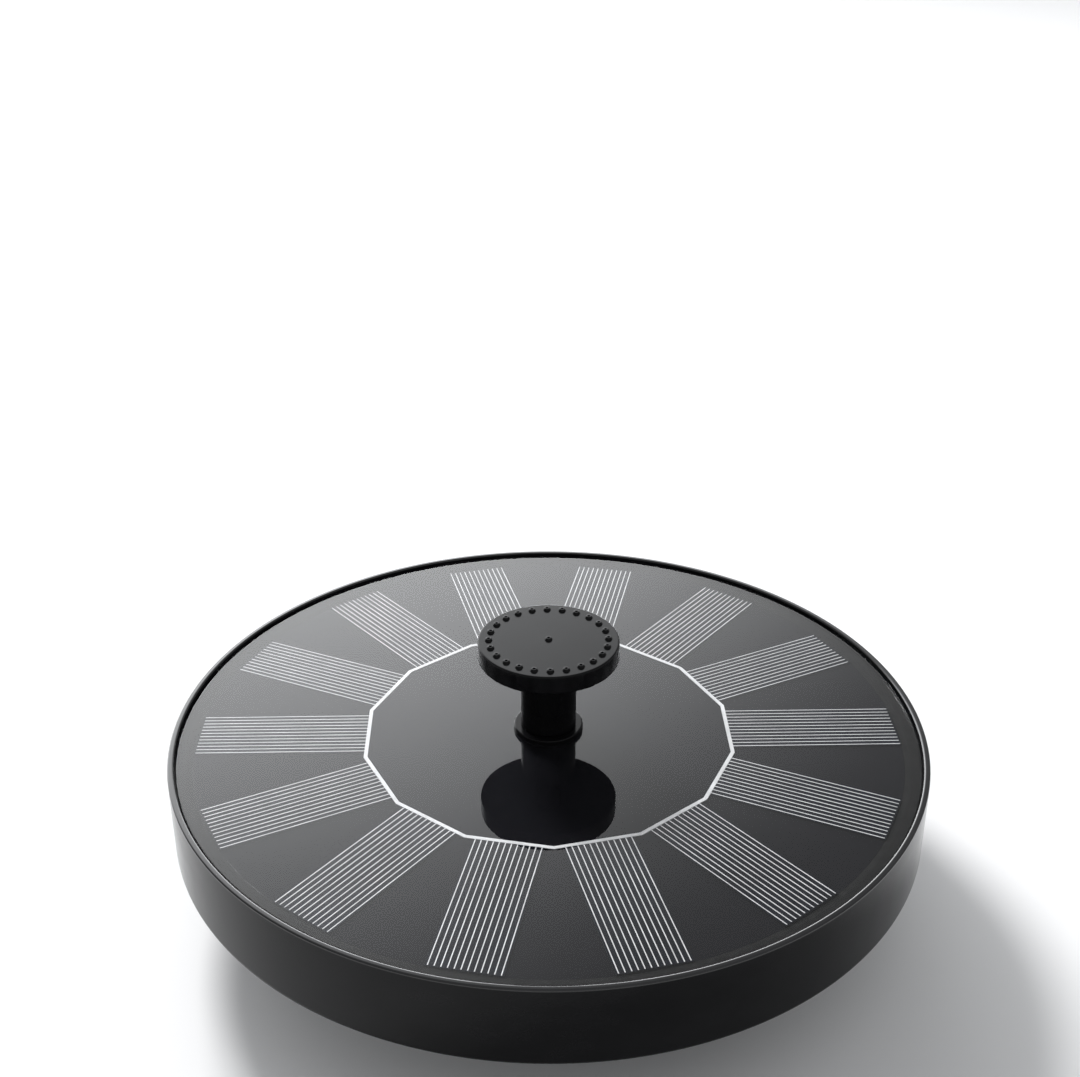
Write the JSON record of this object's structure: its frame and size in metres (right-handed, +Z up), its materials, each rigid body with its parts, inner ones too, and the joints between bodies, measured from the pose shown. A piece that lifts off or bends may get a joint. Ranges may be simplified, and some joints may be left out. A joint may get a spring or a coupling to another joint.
{
  "type": "solar fountain pump",
  "caption": "Round floating solar panel with a central spray nozzle above and a strainer-covered water pump below.",
  "frame": {"origin": "centre of the strainer's underside, on the surface the pump stands on", "axes": "+Z up along the nozzle, a corner of the conductor ring towards -Y"},
  "size_m": [0.16, 0.16, 0.0606],
  "materials": {
    "black_plastic": "smooth injection-moulded black plastic, slightly glossy",
    "panel_glass": "clear polished cover glass",
    "black_rubber": "matte black rubber",
    "laminate_black": "black backing laminate",
    "silver_ribbon": "bright silver conductor ribbon",
    "silicon_cell": "near-black monocrystalline silicon with fine silver lines",
    "circuit_board": "green solder mask",
    "capacitor_can": "bare aluminium can",
    "chip_black": "matte black moulding",
    "red_insulation": "red wire insulation",
    "black_insulation": "black wire insulation",
    "stator_steel": "stacked lamination steel",
    "copper_winding": "enamelled copper wire",
    "polished_steel": "polished stainless steel",
    "white_ceramic": "polished white ceramic",
    "impeller_plastic": "off-white acetal",
    "ferrite_magnet": "dark grey sintered ferrite",
    "filter_foam": "open-cell black foam"
  },
  "bodies": {
    "strainer": {"strainer_cover": "black_plastic", "filter_sponge": "filter_foam"},
    "pump": {"float_shell": "black_plastic", "glass_cover": "panel_glass", "glass_seal": "black_rubber", "panel_board": "laminate_black", "bus_ring": "silver_ribbon", "solar_cell_01": "silicon_cell", "solar_cell_02": "silicon_cell", "solar_cell_03": "silicon_cell", "solar_cell_04": "silicon_cell", "solar_cell_05": "silicon_cell", "solar_cell_06": "silicon_cell", "solar_cell_07": "silicon_cell", "solar_cell_08": "silicon_cell", "solar_cell_09": "silicon_cell", "solar_cell_10": "silicon_cell", "solar_cell_11": "silicon_cell", "solar_cell_12": "silicon_cell", "solar_cell_13": "silicon_cell", "solar_cell_14": "silicon_cell", "control_board": "circuit_board", "driver_chip": "chip_black", "capacitor": "capacitor_can", "panel_lead_1": "red_insulation", "panel_lead_2": "black_insulation", "motor_lead_1": "red_insulation", "motor_lead_2": "black_insulation", "lead_grommet": "black_rubber", "motor_housing": "black_plastic", "motor_cap": "black_plastic", "stator_core": "stator_steel", "stator_coil_1": "copper_winding", "stator_coil_2": "copper_winding", "stator_coil_3": "copper_winding", "stator_coil_4": "copper_winding", "rotor_shaft": "polished_steel", "bushing_lower": "white_ceramic", "bushing_upper": "white_ceramic", "impeller_cover": "black_plastic", "outlet_duct": "black_plastic", "pump_screw_1": "polished_steel", "pump_screw_2": "polished_steel", "pump_screw_3": "polished_steel", "pump_screw_4": "polished_steel", "cover_screw_1": "polished_steel", "cover_screw_2": "polished_steel", "cover_screw_3": "polished_steel", "board_screw_1": "polished_steel", "board_screw_2": "polished_steel", "duct_seal": "black_rubber", "neck_seal": "black_rubber", "nozzle_socket": "black_plastic"},
    "rotor": {"impeller": "impeller_plastic", "rotor_magnet": "ferrite_magnet"},
    "nozzle": {"nozzle_tube": "black_plastic", "spigot_ring": "black_rubber"},
    "cap": {"spray_cap": "black_plastic"}
  },
  "joints": [
    {"name": "pump_lift", "type": "slide", "parent": "strainer", "child": "pump", "axis": [0, 0, 1], "range_m": [0, 0.03]},
    {"name": "rotor_spin", "type": "hinge", "parent": "pump", "child": "rotor", "pos_m": [0, 0, 0.0133], "axis": [0, 0, 1], "continuous": true},
    {"name": "nozzle_lift", "type": "slide", "parent": "pump", "child": "nozzle", "axis": [0, 0, 1], "range_m": [0, 0.03]},
    {"name": "cap_pull", "type": "slide", "parent": "nozzle", "child": "cap", "axis": [0, 0, 1], "range_m": [0, 0.012]}
  ]
}
